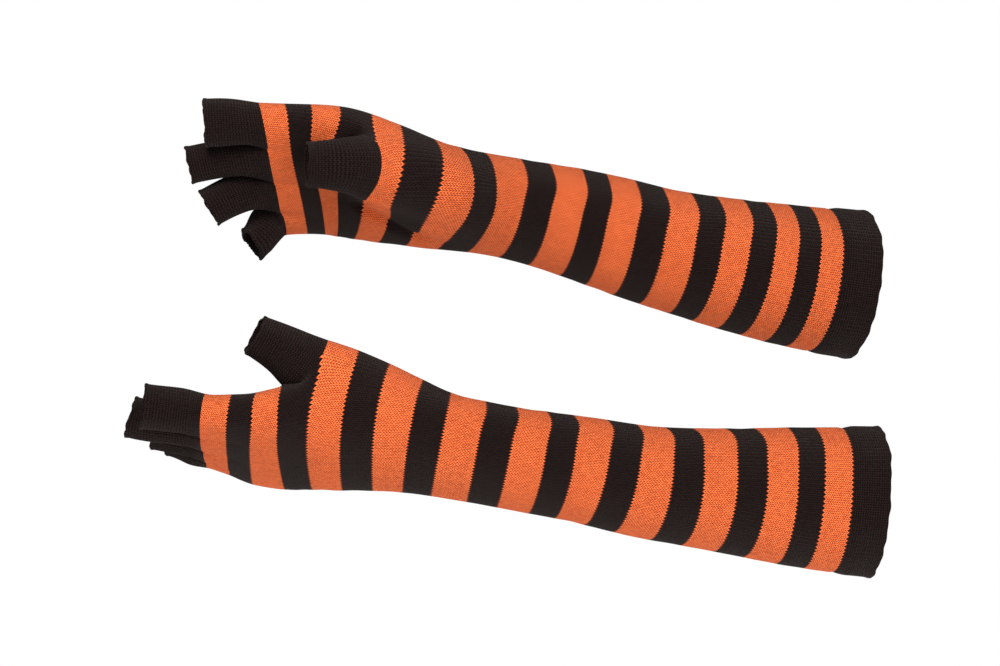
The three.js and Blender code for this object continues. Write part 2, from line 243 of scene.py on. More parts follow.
def section_point(arm, distance, share):
    """Points on the arm's skin at shares (0 to 1) of the way round, starting at the thumb edge."""
    columns = (WIDE, THICK, ROLL, SQUARE, LEAN)
    wide, thick, roll, square, lean = (arm.column(distance, k) for k in columns)
    fine = np.linspace(0, 2 * np.pi, 721)
    x = wide * rounded_power(np.cos(fine), square)
    y = thick * rounded_power(np.sin(fine), square)
    steps = np.hypot(np.diff(x), np.diff(y))
    travelled = np.concatenate([[0], np.cumsum(steps)])
    travelled /= travelled[-1]
    px = np.interp(share, travelled, x)
    py = np.interp(share, travelled, y)
    across, palm = arm.cross_axes(np.array(distance), np.array(roll))
    leaning = across + arm.along(distance) * lean / wide
    return arm.centre(distance) + px[:, None] * leaning + py[:, None] * palm


def smoothstep(value, low, high):
    """0 below low, 1 above high, and an even curve between them."""
    t = np.clip((value - low) / (high - low), 0, 1)
    return t * t * (3 - 2 * t)


def ring_places(arm, bands):
    """Distance and row number of every cage ring of the arm."""
    fit = arm.length / sum(bands)
    distances, rows = [0.0], [0.0]
    for i, length in enumerate(bands):
        courses = CUFF_ROWS if i == len(bands) - 1 else (ORANGE_ROWS, BLACK_ROWS)[i % 2]
        rings = RINGS_PER_BAND + (WEB_RINGS if i == THUMB_BAND else 0)
        for _ in range(rings):
            distances.append(distances[-1] + length * fit / rings)
            rows.append(rows[-1] + courses / rings)
    return np.array(distances), np.array(rows)


def crotch_columns(arm):
    """Where the cage columns lie at the knuckles, so that the crotches part the fingers."""
    wide, thick, square = (arm.column(0, k) for k in (WIDE, THICK, SQUARE))
    fine = np.linspace(0, np.pi / 2, 361)
    x = wide * rounded_power(np.cos(fine), square)
    y = thick * rounded_power(np.sin(fine), square)
    travelled = np.concatenate([[0], np.cumsum(np.hypot(np.diff(x), np.diff(y)))])
    quarter = AROUND / 4
    first = np.interp(-wide / 2, -x, travelled / travelled[-1]) * quarter
    known = [0, 6, 12, 18, 24, 30, 36, 42, 48]
    moved = [0, first, 12, 24 - first, 24, 24 + first, 36, 48 - first, 48]
    return np.interp(np.arange(AROUND), known, moved)


class Cage:
    """Vertices, quads, the piece of each quad, and stitch coordinates at its corners."""

    def __init__(self):
        self.points = []
        self.quads = []
        self.parts = []
        self.stitches = []

    def add_points(self, points):
        first = len(self.points)
        self.points.extend(np.asarray(points, float))
        return list(range(first, len(self.points)))

    def add_quad(self, corners, part, stitches):
        self.quads.append(corners)
        self.parts.append(part)
        self.stitches.append(stitches)


PART_BODY, PART_CUFF, PART_THUMB = 0, 1, 6
PART_FINGERS = [2, 3, 4, 5]


def in_thumb_hole(ring, column, side):
    """True for the cage quads that the thumb's opening takes."""
    first_ring = THUMB_BAND * RINGS_PER_BAND + WEB_RINGS
    if not first_ring <= ring < first_ring + RINGS_PER_BAND:
        return False
    place = column if side > 0 else AROUND - 1 - column
    return THUMB_HOLE_FIRST <= place < THUMB_HOLE_FIRST + THUMB_HOLE_COLUMNS


def thumb_hole_loop(rings, side):
    """Vertices round the thumb's opening, in order round the thumb."""
    first_ring = THUMB_BAND * RINGS_PER_BAND + WEB_RINGS
    last_ring = first_ring + RINGS_PER_BAND
    columns = list(range(THUMB_HOLE_FIRST, THUMB_HOLE_FIRST + THUMB_HOLE_COLUMNS + 1))
    if side < 0:
        columns = [(AROUND - column) % AROUND for column in columns]
    loop = [rings[first_ring][c] for c in columns]
    loop += [rings[r][columns[-1]] for r in range(first_ring + 1, last_ring)]
    loop += [rings[last_ring][c] for c in reversed(columns)]
    loop += [rings[r][columns[0]] for r in range(last_ring - 1, first_ring, -1)]
    return loop


def build_arm(cage, arm, bands, side):
    """The rings from the knuckles to the elbow, with a hole for the thumb."""
    distances, rows = ring_places(arm, bands)
    warped = crotch_columns(arm)
    even = np.arange(AROUND)
    rings = []
    for distance in distances:
        near_fingers = 1 - smoothstep(distance, *KNUCKLE_REACH)
        share = (even + (warped - even) * near_fingers) / AROUND
        rings.append(cage.add_points(section_point(arm, distance, share)))
    cuff_ring = len(distances) - 1 - RINGS_PER_BAND
    for r in range(len(distances) - 1):
        part = PART_CUFF if r >= cuff_ring else PART_BODY
        for c in range(AROUND):
            if in_thumb_hole(r, c, side):
                continue
            n = (c + 1) % AROUND
            u0, u1 = (k * ARM_WALES / AROUND for k in (c, c + 1))
            cage.add_quad(
                [rings[r][c], rings[r][n], rings[r + 1][n], rings[r + 1][c]], part,
                [(u0, rows[r]), (u1, rows[r]), (u1, rows[r + 1]), (u0, rows[r + 1])])
    return rings, distances


def add_tube(cage, loop, rings, part, wales, rows):
    """Quads from a loop of the hand outwards over rings of new points."""
    count = len(loop)
    previous, row = loop, 0.0
    for points, next_row in zip(rings, rows):
        ids = cage.add_points(points)
        for k in range(count):
            n = (k + 1) % count
            u0, u1 = (j * wales / count for j in (k, k + 1))
            cage.add_quad(
                [previous[k], ids[k], ids[n], previous[n]], part,
                [(u0, -row), (u0, -next_row), (u1, -next_row), (u1, -row)])
        previous, row = ids, next_row
    return previous


def finger_loops(cage, rings, outwards):
    """The four loops at the knuckles, parted by webs that run from palm to back."""
    first = rings[0]
    webs = []
    for column in CROTCHES:
        palm, back = (np.array(cage.points[first[c]]) for c in (column, AROUND - column))
        steps = np.arange(1, WEB_POINTS + 1) / (WEB_POINTS + 1)
        reach = outwards * WEB_REACH
        webs.append(cage.add_points([palm + (back - palm) * t + reach for t in steps]))
    edges = [0] + CROTCHES + [AROUND // 2]
    loops, angles = [], []
    for f in range(4):
        low, high = edges[f], edges[f + 1]
        palm = [first[c] for c in range(low, high + 1)]
        back = [first[c % AROUND] for c in range(AROUND - high, AROUND - low + 1)]
        if f == 0:
            loop = palm + webs[0] + back[:-1]
            start = 0.0
        elif f == 3:
            loop = palm + back[1:] + webs[2][::-1]
            start = math.pi / 4
        else:
            loop = palm + webs[f] + back + webs[f - 1][::-1]
            start = math.pi / 5
        loops.append(loop)
        angles.append(start + 2 * math.pi * np.arange(len(loop)) / len(loop))
    return loops, angles


def finger_rings(arm, finger, angles, shares):
    """Rings along one finger: squarish at the knuckle, round at the mouth."""
    offset, mouth, radius, last = finger
    across, palm = arm.cross_axes(np.array(0.0), np.array(arm.column(0, ROLL)))
    along = arm.along(np.array(0.0))
    leaning = across + along * arm.column(0, LEAN) / arm.column(0, WIDE)
    root = arm.centre(0.0) + leaning * offset
    mouth, last = np.array(mouth, float), unit(np.array(last, float))
    length = np.linalg.norm(mouth - root)
    leaving, arriving = root - along * length / 3, mouth - last * length / 3
    rings = []
    for t in shares:
        middle = (root * (1 - t) ** 3 + leaving * 3 * t * (1 - t) ** 2
                  + arriving * 3 * t ** 2 * (1 - t) + mouth * t ** 3)
        heading = unit((leaving - root) * (1 - t) ** 2 + (arriving - leaving) * 2 * t * (1 - t)
                       + (mouth - arriving) * t ** 2)
        wide_axis = unit(across - heading * across.dot(heading))
        thick_axis = np.cross(wide_axis, heading)
        if thick_axis.dot(palm) < 0:
            thick_axis = -thick_axis
        ease = smoothstep(t, -0.1, 0.8)
        lean = along * arm.column(0, LEAN) / arm.column(0, WIDE) * (1 - t) ** 2
        wide = TUBE_HALF_WIDTH + (radius - TUBE_HALF_WIDTH) * ease
        thick = arm.column(0, THICK) - TUBE_SLACK
        thick = thick + (radius - thick) * ease
        rings.append(middle + wide * np.cos(angles)[:, None] * (wide_axis + lean)
                     + thick * np.sin(angles)[:, None] * thick_axis)
    return rings, length


def thumb_ring(thumb, distance, angles):
    """Points round the thumb at a distance from its mouth."""
    across, palm = thumb.cross_axes(np.array(float(distance)), np.array(0.0))
    radius = thumb.column(distance, RADIUS)
    return (thumb.centre(distance) + radius * np.cos(angles)[:, None] * across
            + radius * np.sin(angles)[:, None] * palm)


def best_turn(loop_points, ring_of):
    """The start angle and direction that lay a ring's points nearest to the loop's."""
    count = len(loop_points)
    best = None
    for direction in (1, -1):
        for start in np.linspace(0, 2 * math.pi, 72, endpoint=False):
            angles = start + direction * 2 * math.pi * np.arange(count) / count
            miss = ((ring_of(angles) - loop_points) ** 2).sum()
            if best is None or miss < best[0]:
                best = (miss, angles)
    return best[1]


def hand_surface(arm, thumb, root):
    """A distance-like field of the hand joined smoothly to the ball of the thumb."""
    spine = arm.table
    axes = arm.cross_axes(arm.distance, spine[:, ROLL])
    ball = thumb.table[thumb.distance >= root]

    def field(points):
        far = ((points[:, None, :] - spine[None, ::6, :3]) ** 2).sum(axis=2)
        nearest = far.argmin(axis=1) * 6
        offset = points - spine[nearest, :3]
        a = (offset * axes[0][nearest]).sum(axis=1) / spine[nearest, WIDE]
        b = (offset * axes[1][nearest]).sum(axis=1) / spine[nearest, THICK]
        power = spine[nearest, SQUARE]
        level = (np.abs(a) ** power + np.abs(b) ** power) ** (1 / power)
        size = np.hypot(a * spine[nearest, WIDE], b * spine[nearest, THICK])
        to_arm = size * (1 - 1 / np.maximum(level, 0.05))
        to_ball = (np.sqrt(((points[:, None, :] - ball[None, ::4, :3]) ** 2).sum(axis=2))
                   - ball[None, ::4, RADIUS]).min(axis=1)
        blend = 9.0
        mix = np.clip(0.5 + 0.5 * (to_arm - to_ball) / blend, 0, 1)
        return to_arm * (1 - mix) + to_ball * mix - blend * mix * (1 - mix)

    return field


def onto_surface(points, field, rounds):
    """Moves points along the field's slope to the hand's surface, in a few rounds."""
    reach = 0.3
    for _ in range(rounds):
        value = field(points)
        slope = np.stack([
            (field(points + step) - value) / reach for step in np.eye(3) * reach], axis=1)
        slope /= np.maximum((slope ** 2).sum(axis=1, keepdims=True), 0.25)
        points = points - slope * value[:, None]
    return points


def relax(cage, unbent, movable, reach, field, rounds=160):
    """Spreads the movable points like springs of their unbent lengths, on the hand's surface."""
    points = np.array(cage.points)
    edges = set()
    for quad in cage.quads:
        for a, b in zip(quad, quad[1:] + quad[:1]):
            edges.add((min(a, b), max(a, b)))
    edges = np.array(sorted(edges))
    stiffness = 1 / np.linalg.norm(unbent[edges[:, 0]] - unbent[edges[:, 1]], axis=1)
    for turn in range(rounds):
        total = np.zeros_like(points)
        count = np.zeros(len(points))
        np.add.at(total, edges[:, 0], points[edges[:, 1]] * stiffness[:, None])
        np.add.at(total, edges[:, 1], points[edges[:, 0]] * stiffness[:, None])
        np.add.at(count, edges[:, 0], stiffness)
        np.add.at(count, edges[:, 1], stiffness)
        mean = total / np.maximum(count, 1e-9)[:, None]
        step = (mean[movable] - points[movable]) * 0.5 * reach[:, None]
        points[movable] += step
        if turn % 5 == 4:
            points[movable] = onto_surface(points[movable], field, 1)
    cage.points = list(points)


def straighten(cage, arm, unbent, movable, reach, field, hole):
    """Slides lifted points back towards the fingers, so that the courses stay upright."""
    points = np.array(cage.points)
    moved = points[movable] - unbent[movable]
    far = ((points[movable][:, None, :] - arm.table[None, ::6, :3]) ** 2).sum(axis=2)
    along = arm.tangent[far.argmin(axis=1) * 6]
    outwards = moved - along * (moved * along).sum(axis=1, keepdims=True)
    to_hole = np.linalg.norm(points[movable][:, None, :] - points[hole][None], axis=2)
    fade = smoothstep(to_hole.min(axis=1), *SLIDE_FADE)
    lift = np.linalg.norm(outwards, axis=1) * reach * fade
    slid = points[movable] - along * (lift * along[:, 1] * SLIDE)[:, None]
    points[movable] = onto_surface(slid, field, 2)
    cage.points = list(points)


def build_cage(arm, bands, thumb, fingers, side):
    """The arm's cage, pulled out to the thumb, with the five tubes on it."""
    cage = Cage()
    rings, distances = build_arm(cage, arm, bands, side)
    root = thumb.station_distance(GUSSET_STATION, THUMB_STATIONS)
    hole = thumb_hole_loop(rings, side)
    unbent = np.array(cage.points)
    hole_points = unbent[hole]
    angles = best_turn(hole_points, lambda a: thumb_ring(thumb, root, a))
    for i, point in zip(hole, thumb_ring(thumb, root, angles)):
        cage.points[i] = point
    field = hand_surface(arm, thumb, root)
    base = thumb.centre(root)
    last_ring = int(np.searchsorted(distances, HAND_LENGTH))
    movable = [i for ring in rings[1:last_ring] for i in ring if i not in set(hole)]
    nearness = np.linalg.norm(np.array([cage.points[i] for i in movable]) - base, axis=1)
    reach = 1 - smoothstep(nearness, *THUMB_PULL)
    relax(cage, unbent, movable, reach, field)
    straighten(cage, arm, unbent, movable, reach, field, hole)

    add_fingers(cage, arm, rings, fingers)
    tube = [thumb_ring(thumb, root * (1 - t), angles) for t in THUMB_SHARES]
    rows = [root * t / TUBE_ROW for t in THUMB_SHARES]
    if side > 0:
        hole, tube = hole[::-1], [ring[::-1] for ring in tube]
    add_tube(cage, hole, tube, PART_THUMB, THUMB_WALES, rows)
    return cage


def add_fingers(cage, arm, rings, fingers):
    loops, loop_angles = finger_loops(cage, rings, -arm.along(np.array(0.0)))
    shares = FINGER_SHARES
    for f, finger in enumerate(fingers):
        tube, length = finger_rings(arm, finger, loop_angles[f], shares)
        knuckle = np.array([cage.points[i] for i in loops[f]])
        eased = knuckle + (tube[1] - knuckle) * shares[0] / shares[1]
        tube[0] = tube[0] * (1 - FIRST_RING_EASE) + eased * FIRST_RING_EASE
        rows = [length * t / TUBE_ROW for t in shares]
        add_tube(cage, loops[f], tube, PART_FINGERS[f], TUBE_WALES[f], rows)


# ---- meshes ----

class Knit:
    """A quad mesh as arrays: points, normals, quads, parts and corner stitches."""

    def __init__(self, points, quads, parts, stitches, normals=None):
        self.points = np.asarray(points, float)
        self.quads = np.asarray(quads, int)
        self.parts = np.asarray(parts, int)
        self.stitches = np.asarray(stitches, float)
        self.normals = normals

    def point_stitches(self):
        """One stitch coordinate for each point; at the seam round the tube either one."""
        found = np.zeros((len(self.points), 2))
        found[self.quads.ravel()] = self.stitches.reshape(-1, 2)
        return found


def to_mesh(name, knit):
    """A Blender mesh in metres; each quad's part is kept as its material index."""
    mesh = bpy.data.meshes.new(name)
    mesh.from_pydata((knit.points * MM).tolist(), [], knit.quads.tolist())
    mesh.polygons.foreach_set("material_index", knit.parts)
    mesh.polygons.foreach_set("use_smooth", np.ones(len(knit.quads), bool))
    layer = mesh.uv_layers.new(name="stitches")
    layer.data.foreach_set("uv", knit.stitches.reshape(-1))
    mesh.update()
    return mesh


def from_mesh(mesh):
    """The arrays, in millimetres, of a mesh that to_mesh made and Blender subdivided."""
    count = len(mesh.vertices)
    points, normals = np.empty(count * 3), np.empty(count * 3)
    mesh.vertices.foreach_get("co", points)
    mesh.vertices.foreach_get("normal", normals)
    quads = np.empty(len(mesh.loops), int)
    mesh.loops.foreach_get("vertex_index", quads)
    parts = np.empty(len(mesh.polygons), int)
    mesh.polygons.foreach_get("material_index", parts)
    stitches = np.empty(len(mesh.loops) * 2)
    mesh.uv_layers["stitches"].data.foreach_get("uv", stitches)
    return Knit(points.reshape(-1, 3) / MM, quads.reshape(-1, 4), parts,
                stitches.reshape(-1, 4, 2), normals.reshape(-1, 3))


def subdivided(knit, levels, kind):
    """The mesh after a subdivision surface (CATMULL_CLARK) or a plain split (SIMPLE)."""
    obj = bpy.data.objects.new("work", to_mesh("work", knit))
    bpy.context.scene.collection.objects.link(obj)
    modifier = obj.modifiers.new("smooth", "SUBSURF")
    modifier.subdivision_type = kind
    modifier.levels = levels
    modifier.uv_smooth = "NONE"
    evaluated = obj.evaluated_get(bpy.context.evaluated_depsgraph_get())
    result = from_mesh(evaluated.to_mesh())
    evaluated.to_mesh_clear()
    mesh = obj.data
    bpy.data.objects.remove(obj)
    bpy.data.meshes.remove(mesh)
    return result


def cut_part(knit, part):
    """The quads of one part, with the whole glove's normals at their points."""
    quads = knit.quads[knit.parts == part]
    used, index = np.unique(quads, return_inverse=True)
    return Knit(knit.points[used], index.reshape(-1, 4), np.zeros(len(quads), int),
                knit.stitches[knit.parts == part], knit.normals[used])


def boundary_edges(quads):
    """Directed edges that only one quad has."""
    edges = np.concatenate([quads[:, [k, (k + 1) % 4]] for k in range(4)])
    keys = np.sort(edges, axis=1)
    _, first, counts = np.unique(keys, axis=0, return_index=True, return_counts=True)
    return edges[first[counts == 1]]


def with_wall(knit, thickness, open_row):
    """Adds the inner wall, and a rounded edge between both walls at the open end's row."""
    count = len(knit.points)
    stitches = knit.point_stitches()
    inner = knit.points - knit.normals * thickness
    at_mouth = np.abs(stitches[:, 1] - open_row) < 1e-3
    edges = boundary_edges(knit.quads)
    edges = edges[at_mouth[edges].all(axis=1)]
    rim = np.unique(edges)
    outwards = rim_directions(knit, edges, rim)
    points, normals = [knit.points, inner], [knit.normals, -knit.normals]
    lifts = []
    for angle in (45, 135):
        turn = math.radians(angle)
        middle = (knit.points[rim] + inner[rim]) / 2
        lifts.append(middle + knit.normals[rim] * thickness / 2 * math.cos(turn)
                     + outwards * thickness / 2 * math.sin(turn))
        normals.append(knit.normals[rim] * math.cos(turn) + outwards * math.sin(turn))
    points += lifts
    place = {v: k for k, v in enumerate(rim)}
    ladders = [
        {v: v for v in rim},
        {v: 2 * count + place[v] for v in rim},
        {v: 2 * count + len(rim) + place[v] for v in rim},
        {v: count + v for v in rim},
    ]
    quads = [knit.quads, knit.quads[:, ::-1] + count]
    uvs = [knit.stitches, knit.stitches[:, ::-1]]
    edge_quads, edge_uvs = [], []
    for a, b in edges:
        for low, high in zip(ladders[:-1], ladders[1:]):
            edge_quads.append([low[b], low[a], high[a], high[b]])
            edge_uvs.append([stitches[b], stitches[a], stitches[a], stitches[b]])
    quads.append(np.array(edge_quads, int).reshape(-1, 4))
    uvs.append(np.array(edge_uvs, float).reshape(-1, 4, 2))
    all_quads = np.concatenate(quads)
    parts = np.zeros(len(all_quads), int)
    return Knit(np.concatenate(points), all_quads, parts, np.concatenate(uvs),
                np.concatenate(normals))


def rim_directions(knit, edges, rim):
    """At each point of an open end, the direction out of the mouth, along the wall."""
    away = np.zeros_like(knit.points)
    for a, b in edges:
        direction = np.cross(knit.points[b] - knit.points[a], knit.normals[a])
        away[a] += direction
        away[b] += direction
    return unit(away[rim]) if len(rim) else away[rim]


def to_object(name, knit, material):
    """A piece with its material, shaded by the normals that the knit carries."""
    mesh = to_mesh(name, knit)
    mesh.materials.append(material)
    mesh.normals_split_custom_set_from_vertices(unit(knit.normals))
    obj = bpy.data.objects.new(name, mesh)
    bpy.context.scene.collection.objects.link(obj)
    return obj


def recompute_normals(knit):
    """Point normals of the changed surface, weighted by the areas of the quads."""
    corners = knit.points[knit.quads]
    face = np.cross(corners[:, 2] - corners[:, 0], corners[:, 3] - corners[:, 1])
    total = np.zeros_like(knit.points)
    for k in range(4):
        np.add.at(total, knit.quads[:, k], face)
    return unit(total)


# ---- relief ----

def waves(place, *terms):
    """A sum of sines of the place; each term is a count of waves, a phase and a height."""
    total = np.zeros_like(place)
    for count, phase, height in terms:
        total += np.sin(2 * np.pi * count * place + phase) * height
    return total


def knuckle_valleys(points, arm, crotches):
    """How far the knit sinks between the knuckles, on the palm and on the back."""
    along = arm.along(np.array(0.0))
    across, palm = arm.cross_axes(np.array(0.0), np.array(arm.column(0, ROLL)))
    sunk = np.zeros(len(points))
    for crotch in crotches:
        offset = points - crotch
        aside, deep, behind = (offset @ axis for axis in (across, palm, along))
        aside = aside - behind * 0.06 * np.sign((crotch - arm.centre(0.0)) @ across)
        fade = np.exp(-(np.minimum(behind, 0) / 4) ** 2) * (1 - smoothstep(behind, 0, 26))
        sunk += VALLEY_DEPTH * np.exp(-(aside / 2.6) ** 2 - (deep / 6) ** 2) * fade
    return sunk


def crease_lift(points, normals, crease):
    """The fold where the ball of the thumb hangs over the palm: a roll above a groove."""
    line = catmull_rom(crease, 80)
    offset = points[:, None, ::2] - line[None, :, :]
    nearest = (offset ** 2).sum(axis=2).argmin(axis=1)
    run = unit(np.gradient(line, axis=0))[nearest]
    away = offset[np.arange(len(points)), nearest]
    height = away[:, 1] * run[:, 0] - away[:, 0] * run[:, 1]
    past = (away * run).sum(axis=1)
    share = nearest / (len(line) - 1)
    strength = smoothstep(share, 0.0, 0.15) * (1 - smoothstep(share, 0.6, 1.0))
    strength = strength * np.exp(-(past / 4) ** 2) * smoothstep(-normals[:, 1], 0.0, 0.25)
    roll = CREASE_ROLL * np.exp(-((height - 3.0) / 3.0) ** 2)
    groove = CREASE_GROOVE * np.exp(-((height + 1.6) / 2.2) ** 2)
    return (roll - groove) * strength


def arm_relief(knit, arm, ridge_wales, last_band_row):
    """Moves outwards and along the arm: its long ridge, unevenness, and the cuff's flare."""
    stitches = knit.point_stitches()
    on_arm = stitches[:, 1] >= 0
    wale, row = stitches[:, 0], np.maximum(stitches[:, 1], 0)
    turn = wale / ARM_WALES
    share = row / last_band_row
    ridge_at = ridge_wales[0] + (ridge_wales[1] - ridge_wales[0]) * share
    from_ridge = (wale - ridge_at + ARM_WALES / 2) % ARM_WALES - ARM_WALES / 2
    ridge = np.exp(-(from_ridge / 4.7) ** 2) * smoothstep(share, 0.36, 0.46)
    ridge = ridge * (1 - 0.6 * smoothstep(share, 0.75, 1.0))
    sag = waves(turn + share * 0.7, (2, 0.4, 0.5), (5, 1.9, 0.3))
    soft = 0.28 * waves(share * 9.0 + 0.15 * sag, (1, 0.3, 0.6), (2.3, 1.1, 0.4)) * sag
    past = row - last_band_row
    tuck = -0.55 * np.exp(-(past / 0.9) ** 2)
    flare = smoothstep(past, 0.5, 5.0) * (0.7 + waves(turn, (7, 0.6, 0.2), (13, 2.2, 0.15)))
    rim = smoothstep(past, CUFF_ROWS - 3.0, CUFF_ROWS)
    outwards = 0.6 * ridge + soft * smoothstep(share, 0.1, 0.2) + tuck + flare + 0.35 * rim
    ragged = waves(turn, (9, 0.2, 0.15), (16, 1.4, 0.2), (27, 2.9, 0.16)) - 1.3
    slide = 1.5 * ridge + rim * ragged
    return outwards * on_arm, slide * on_arm


def shape_relief(knit, arm, crotches, crease, ridge_wales, last_band_row):
    """Moves the smooth glove's points into its folds, valleys and ridges."""
    outwards, slide = arm_relief(knit, arm, ridge_wales, last_band_row)
    outwards = outwards - knuckle_valleys(knit.points, arm, crotches)
    if crease:
        outwards = outwards + crease_lift(knit.points, knit.normals, crease)
    far = ((knit.points[:, None, ::2] - arm.table[None, ::8, :3:2]) ** 2).sum(axis=2)
    along = arm.tangent[far.argmin(axis=1) * 8]
    knit.points = knit.points + knit.normals * outwards[:, None] + along * slide[:, None]
    knit.normals = recompute_normals(knit)


def rib_tube(knit, wales, length_rows):
    """Gives a tube the ridges of its ribs, and a rolled, uneven edge at its mouth."""
    stitches = knit.point_stitches()
    u, row = stitches[:, 0], -stitches[:, 1]
    from_root = smoothstep(row, 0.0, 3.0)
    near_mouth = smoothstep(row, length_rows - 2.5, length_rows)
    ridge = np.cos(2 * np.pi * u) * 0.13
    roll = np.exp(-((length_rows - row) / 0.8) ** 2) * 0.4
    lumps = waves(u / wales, (3, 1.3, 0.14), (7, 0.5, 0.12))
    ragged = waves(u / wales, (4, 0.9, 0.22), (7, 2.1, 0.2), (11, 0.1, 0.16))
    outwards = unit(knit.points[row > length_rows - 0.01].mean(axis=0)
                    - knit.points[row < 0.5 * length_rows].mean(axis=0))
    lift = (ridge + lumps) * from_root + roll
    knit.points = (knit.points + knit.normals * lift[:, None]
                   + outwards * (ragged * near_mouth)[:, None])
    knit.normals = recompute_normals(knit)


def build_glove(side_name, glove, materials):
    """The seven pieces of one glove by their short names, and its two limbs."""
    arm_stations, bands, thumb_stations, fingers, side, crease, ridge_wales = glove
    arm, thumb = Limb(arm_stations), Limb(thumb_stations)
    cage = build_cage(arm, bands, thumb, fingers, side)
    raw = Knit(cage.points, cage.quads, cage.parts, cage.stitches)
    smooth = subdivided(raw, SMOOTH_LEVELS, "CATMULL_CLARK")
    crotches = [cage.points[c] for k in CROTCHES for c in (k, AROUND - k)]
    last_band_row = raw.stitches[:, :, 1].max() - CUFF_ROWS
    shape_relief(smooth, arm, crotches, crease, ridge_wales, last_band_row)
    made = {}
    body = with_wall(cut_part(smooth, PART_BODY), WALL, NO_MOUTH)
    made["body"] = to_object(f"{side_name}_striped_sleeve", body, materials["stripes"])
    cuff = subdivided_part(smooth, PART_CUFF, 1)
    last_row = cuff.stitches[:, :, 1].max()
    made["cuff"] = to_object(
        f"{side_name}_ribbed_cuff", with_wall(cuff, WALL, last_row), materials["rib"])
    tubes = list(zip(FINGER_NAMES, PART_FINGERS, TUBE_WALES)) + [
        ("thumb", PART_THUMB, THUMB_WALES)]
    for name, part, wales in tubes:
        tube = subdivided_part(smooth, part, 1)
        rows = -tube.stitches[:, :, 1].min()
        rib_tube(tube, wales, rows)
        made[name] = to_object(
            f"{side_name}_{name}_ribbed_tube", with_wall(tube, WALL, -rows), materials["rib"])
    return made, arm, thumb


def subdivided_part(knit, part, levels):
    """One part with its quads split further, for its fine relief and its rim."""
    return subdivided(cut_part(knit, part), levels, "SIMPLE")


# ---- materials ----

class Nodes:
    """Short calls for building a material's node tree."""

    def __init__(self, name):
        self.material = bpy.data.materials.new(name)
        self.material.use_nodes = True
        self.tree = self.material.node_tree
        self.tree.nodes.clear()

    def add(self, kind, **settings):
        node = self.tree.nodes.new(kind)
        for key, value in settings.items():
            setattr(node, key, value)
        return node

    def feed(self, socket, value):
        if isinstance(value, bpy.types.NodeSocket):
            self.tree.links.new(value, socket)
        else:
            socket.default_value = value

    def math(self, operation, *values):
        node = self.add("ShaderNodeMath", operation=operation)
        for socket, value in zip(node.inputs, values):
            self.feed(socket, value)
        return node.outputs[0]

    def mix(self, factor, first, second):
        """A mix of two colours; 6, 7 and 2 are the mix node's colour sockets."""
        node = self.add("ShaderNodeMix", data_type="RGBA")
        self.feed(node.inputs["Factor"], factor)
        self.feed(node.inputs[6], first)
        self.feed(node.inputs[7], second)
        return node.outputs[2]


def stitch_coordinates(nodes):
    """The wale and the course of each point, from the stitches UV map."""
    uv = nodes.add("ShaderNodeUVMap", uv_map="stitches")
    split = nodes.add("ShaderNodeSeparateXYZ")
    nodes.feed(split.inputs[0], uv.outputs[0])
    return split.outputs[0], split.outputs[1]


def hump(nodes, fraction):
    """A smooth bump from 0 at the ends of a fraction to 1 at its middle."""
    return nodes.math("SINE", nodes.math("MULTIPLY", fraction, math.pi))


def v_stitch(nodes, wale, course, lean):
    """(height, row, tone) of plain knit: each stitch is a V of two leaning legs."""
    inside = nodes.math("FRACT", wale)
    from_middle = nodes.math("ABSOLUTE", nodes.math("SUBTRACT", inside, 0.5))
    leaned = nodes.math("ADD", course, nodes.math("MULTIPLY", from_middle, 2 * lean))
    row = nodes.math("FLOOR", leaned)
    along = hump(nodes, nodes.math("FRACT", leaned))
    leg = nodes.math("MULTIPLY", wale, 2)
    across = hump(nodes, nodes.math("FRACT", leg))
    height = nodes.math("MULTIPLY", nodes.math("POWER", along, 0.8),
                        nodes.math("POWER", across, 0.4))
    cell = nodes.add("ShaderNodeCombineXYZ")
    nodes.feed(cell.inputs[0], nodes.math("FLOOR", leg))
    nodes.feed(cell.inputs[1], row)
    tone = nodes.add("ShaderNodeTexWhiteNoise", noise_dimensions="3D")
    nodes.feed(tone.inputs["Vector"], cell.outputs[0])
    return height, row, tone.outputs["Value"]


def knit_shader(nodes, colour, height, depth):
    """A matte, slightly fuzzy surface, with the height as bump of a depth in metres."""
    shader = nodes.add("ShaderNodeBsdfPrincipled")
    nodes.feed(shader.inputs["Base Color"], colour)
    roughness = nodes.math("SUBTRACT", 0.98, nodes.math("MULTIPLY", height, 0.12))
    nodes.feed(shader.inputs["Roughness"], roughness)
    shader.inputs["Specular IOR Level"].default_value = 0.06
    shader.inputs["Sheen Weight"].default_value = 0.04
    shader.inputs["Sheen Roughness"].default_value = 0.4
    shader.inputs["Sheen Tint"].default_value = (1, 0.85, 0.75, 1)
    bump = nodes.add("ShaderNodeBump")
    bump.inputs["Strength"].default_value = 1.0
    bump.inputs["Distance"].default_value = depth
    nodes.feed(bump.inputs["Height"], height)
    nodes.feed(shader.inputs["Normal"], bump.outputs[0])
    output = nodes.add("ShaderNodeOutputMaterial")
    nodes.feed(output.inputs["Surface"], shader.outputs[0])
    return nodes.material


# Linear colours of the yarn's lit tops and of the shade between its loops.
BLACK = (0.0165, 0.0083, 0.0072, 1)
BLACK_DEEP = (0.0012, 0.0006, 0.0006, 1)
ORANGE = (1.0, 0.215, 0.062, 1)
ORANGE_DEEP = (0.26, 0.016, 0.004, 1)
STRIPES_LEAN, STRIPES_BUMP = 1.1, 0.0005
RIB_LEAN, RIB_BUMP = 0.5, 0.0006
FIBRE_SCALE, FIBRE_DETAIL = 2600, 3
PATCH_SCALE, PATCH_DETAIL = 45, 2


